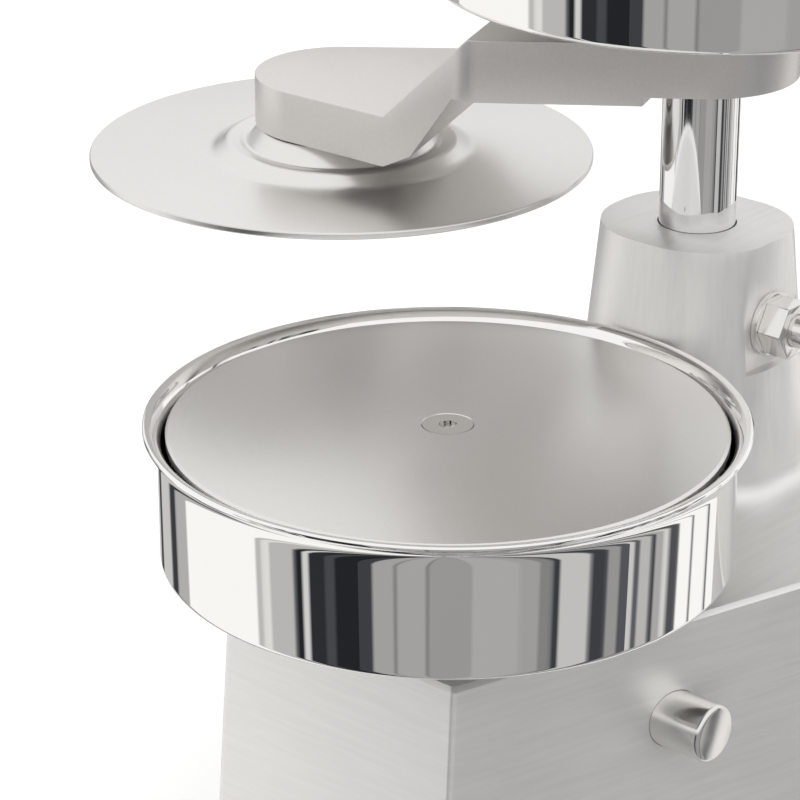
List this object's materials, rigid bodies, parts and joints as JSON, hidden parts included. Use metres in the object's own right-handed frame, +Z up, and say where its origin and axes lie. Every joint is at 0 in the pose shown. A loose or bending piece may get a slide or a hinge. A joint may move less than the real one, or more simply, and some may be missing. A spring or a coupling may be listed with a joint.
{
  "type": "hand patty press",
  "caption": "Lever-operated patty press: a flared mould bowl with an ejector plate, a press disc on an arm that swings over it, and a paper tray on top.",
  "frame": {"origin": "centre of the whole machine's footprint box, on the table under the rubber feet", "axes": "+Z up, +Y from the mould bowl towards the column and the lever, +X to the right of a person who stands in front of the mould"},
  "size_m": [0.2272, 0.3058, 0.2735],
  "materials": {
    "cast_aluminium": "satin, finely brushed",
    "machined_aluminium": "satin",
    "polished_stainless": "mirror polished",
    "satin_stainless": "satin",
    "polished_shaft": "ground and polished",
    "bright_steel": "bright plated",
    "plain_steel": "as machined",
    "bronze": "as machined",
    "iron": "black, as cast",
    "nylon": "natural",
    "black_rubber": "matt",
    "black_grip": "semi-gloss"
  },
  "bodies": {
    "housing": {"body_casting": "cast_aluminium", "base_plate": "satin_stainless", "rubber_foot_front_right": "black_rubber", "rubber_foot_front_left": "black_rubber", "rubber_foot_rear_right": "black_rubber", "rubber_foot_rear_left": "black_rubber", "foot_screws": "plain_steel", "upper_bush": "bronze", "lower_bush": "bronze", "friction_pad": "nylon", "friction_stud": "bright_steel", "stud_washer": "bright_steel", "stud_nut": "bright_steel", "fulcrum_axle": "bright_steel", "axle_spacers": "plain_steel", "mould_bowl": "polished_stainless", "bowl_screws": "bright_steel", "ejector_bush": "nylon"},
    "ejector": {"ejector_plate": "satin_stainless", "ejector_rod": "polished_shaft", "rod_collar": "plain_steel", "plate_screw": "bright_steel"},
    "crosshead_slide": {"crosshead": "iron", "crosshead_bush": "bronze", "link_pins": "plain_steel"},
    "swing": {"press_shaft": "polished_shaft", "end_washer": "plain_steel", "end_screw": "plain_steel", "hub_washer": "bright_steel", "hub_nut": "bright_steel", "paper_tray": "polished_stainless", "tray_screw": "bright_steel", "press_arm": "machined_aluminium", "press_disc": "satin_stainless", "disc_screw": "bright_steel"},
    "fulcrum": {"fulcrum_sleeve": "bronze"},
    "lever": {"lever_yoke": "iron", "lever_handle": "polished_shaft", "lever_grip": "black_grip"}
  },
  "joints": [
    {"name": "lever_release", "type": "hinge", "parent": "housing", "child": "fulcrum", "pos_m": [0.0384, -0.06264, 0.088], "axis": [-1, 0, 0], "range_deg": [0, 17.1]},
    {"name": "lever_press", "type": "hinge", "parent": "fulcrum", "child": "lever", "pos_m": [0.0384, -0.06264, 0.088], "axis": [-1, 0, 0], "range_deg": [0, 8.92]},
    {"name": "ejector_drop", "type": "slide", "parent": "housing", "child": "ejector", "axis": [0, 0, -1], "range_m": [0, 0.023]},
    {"name": "shaft_press", "type": "slide", "parent": "ejector", "child": "crosshead_slide", "axis": [0, 0, -1], "range_m": [0, 0.012]},
    {"name": "arm_swing", "type": "hinge", "parent": "crosshead_slide", "child": "swing", "pos_m": [0.0384, 0.01086, 0.2], "axis": [0, 0, 1], "range_deg": [-30.6, 69.4]}
  ],
  "couplings": [
    {"joint": "lever_release", "follows": "ejector_drop", "rad_per_m": 12.97},
    {"joint": "lever_press", "follows": "shaft_press", "rad_per_m": 12.97}
  ]
}
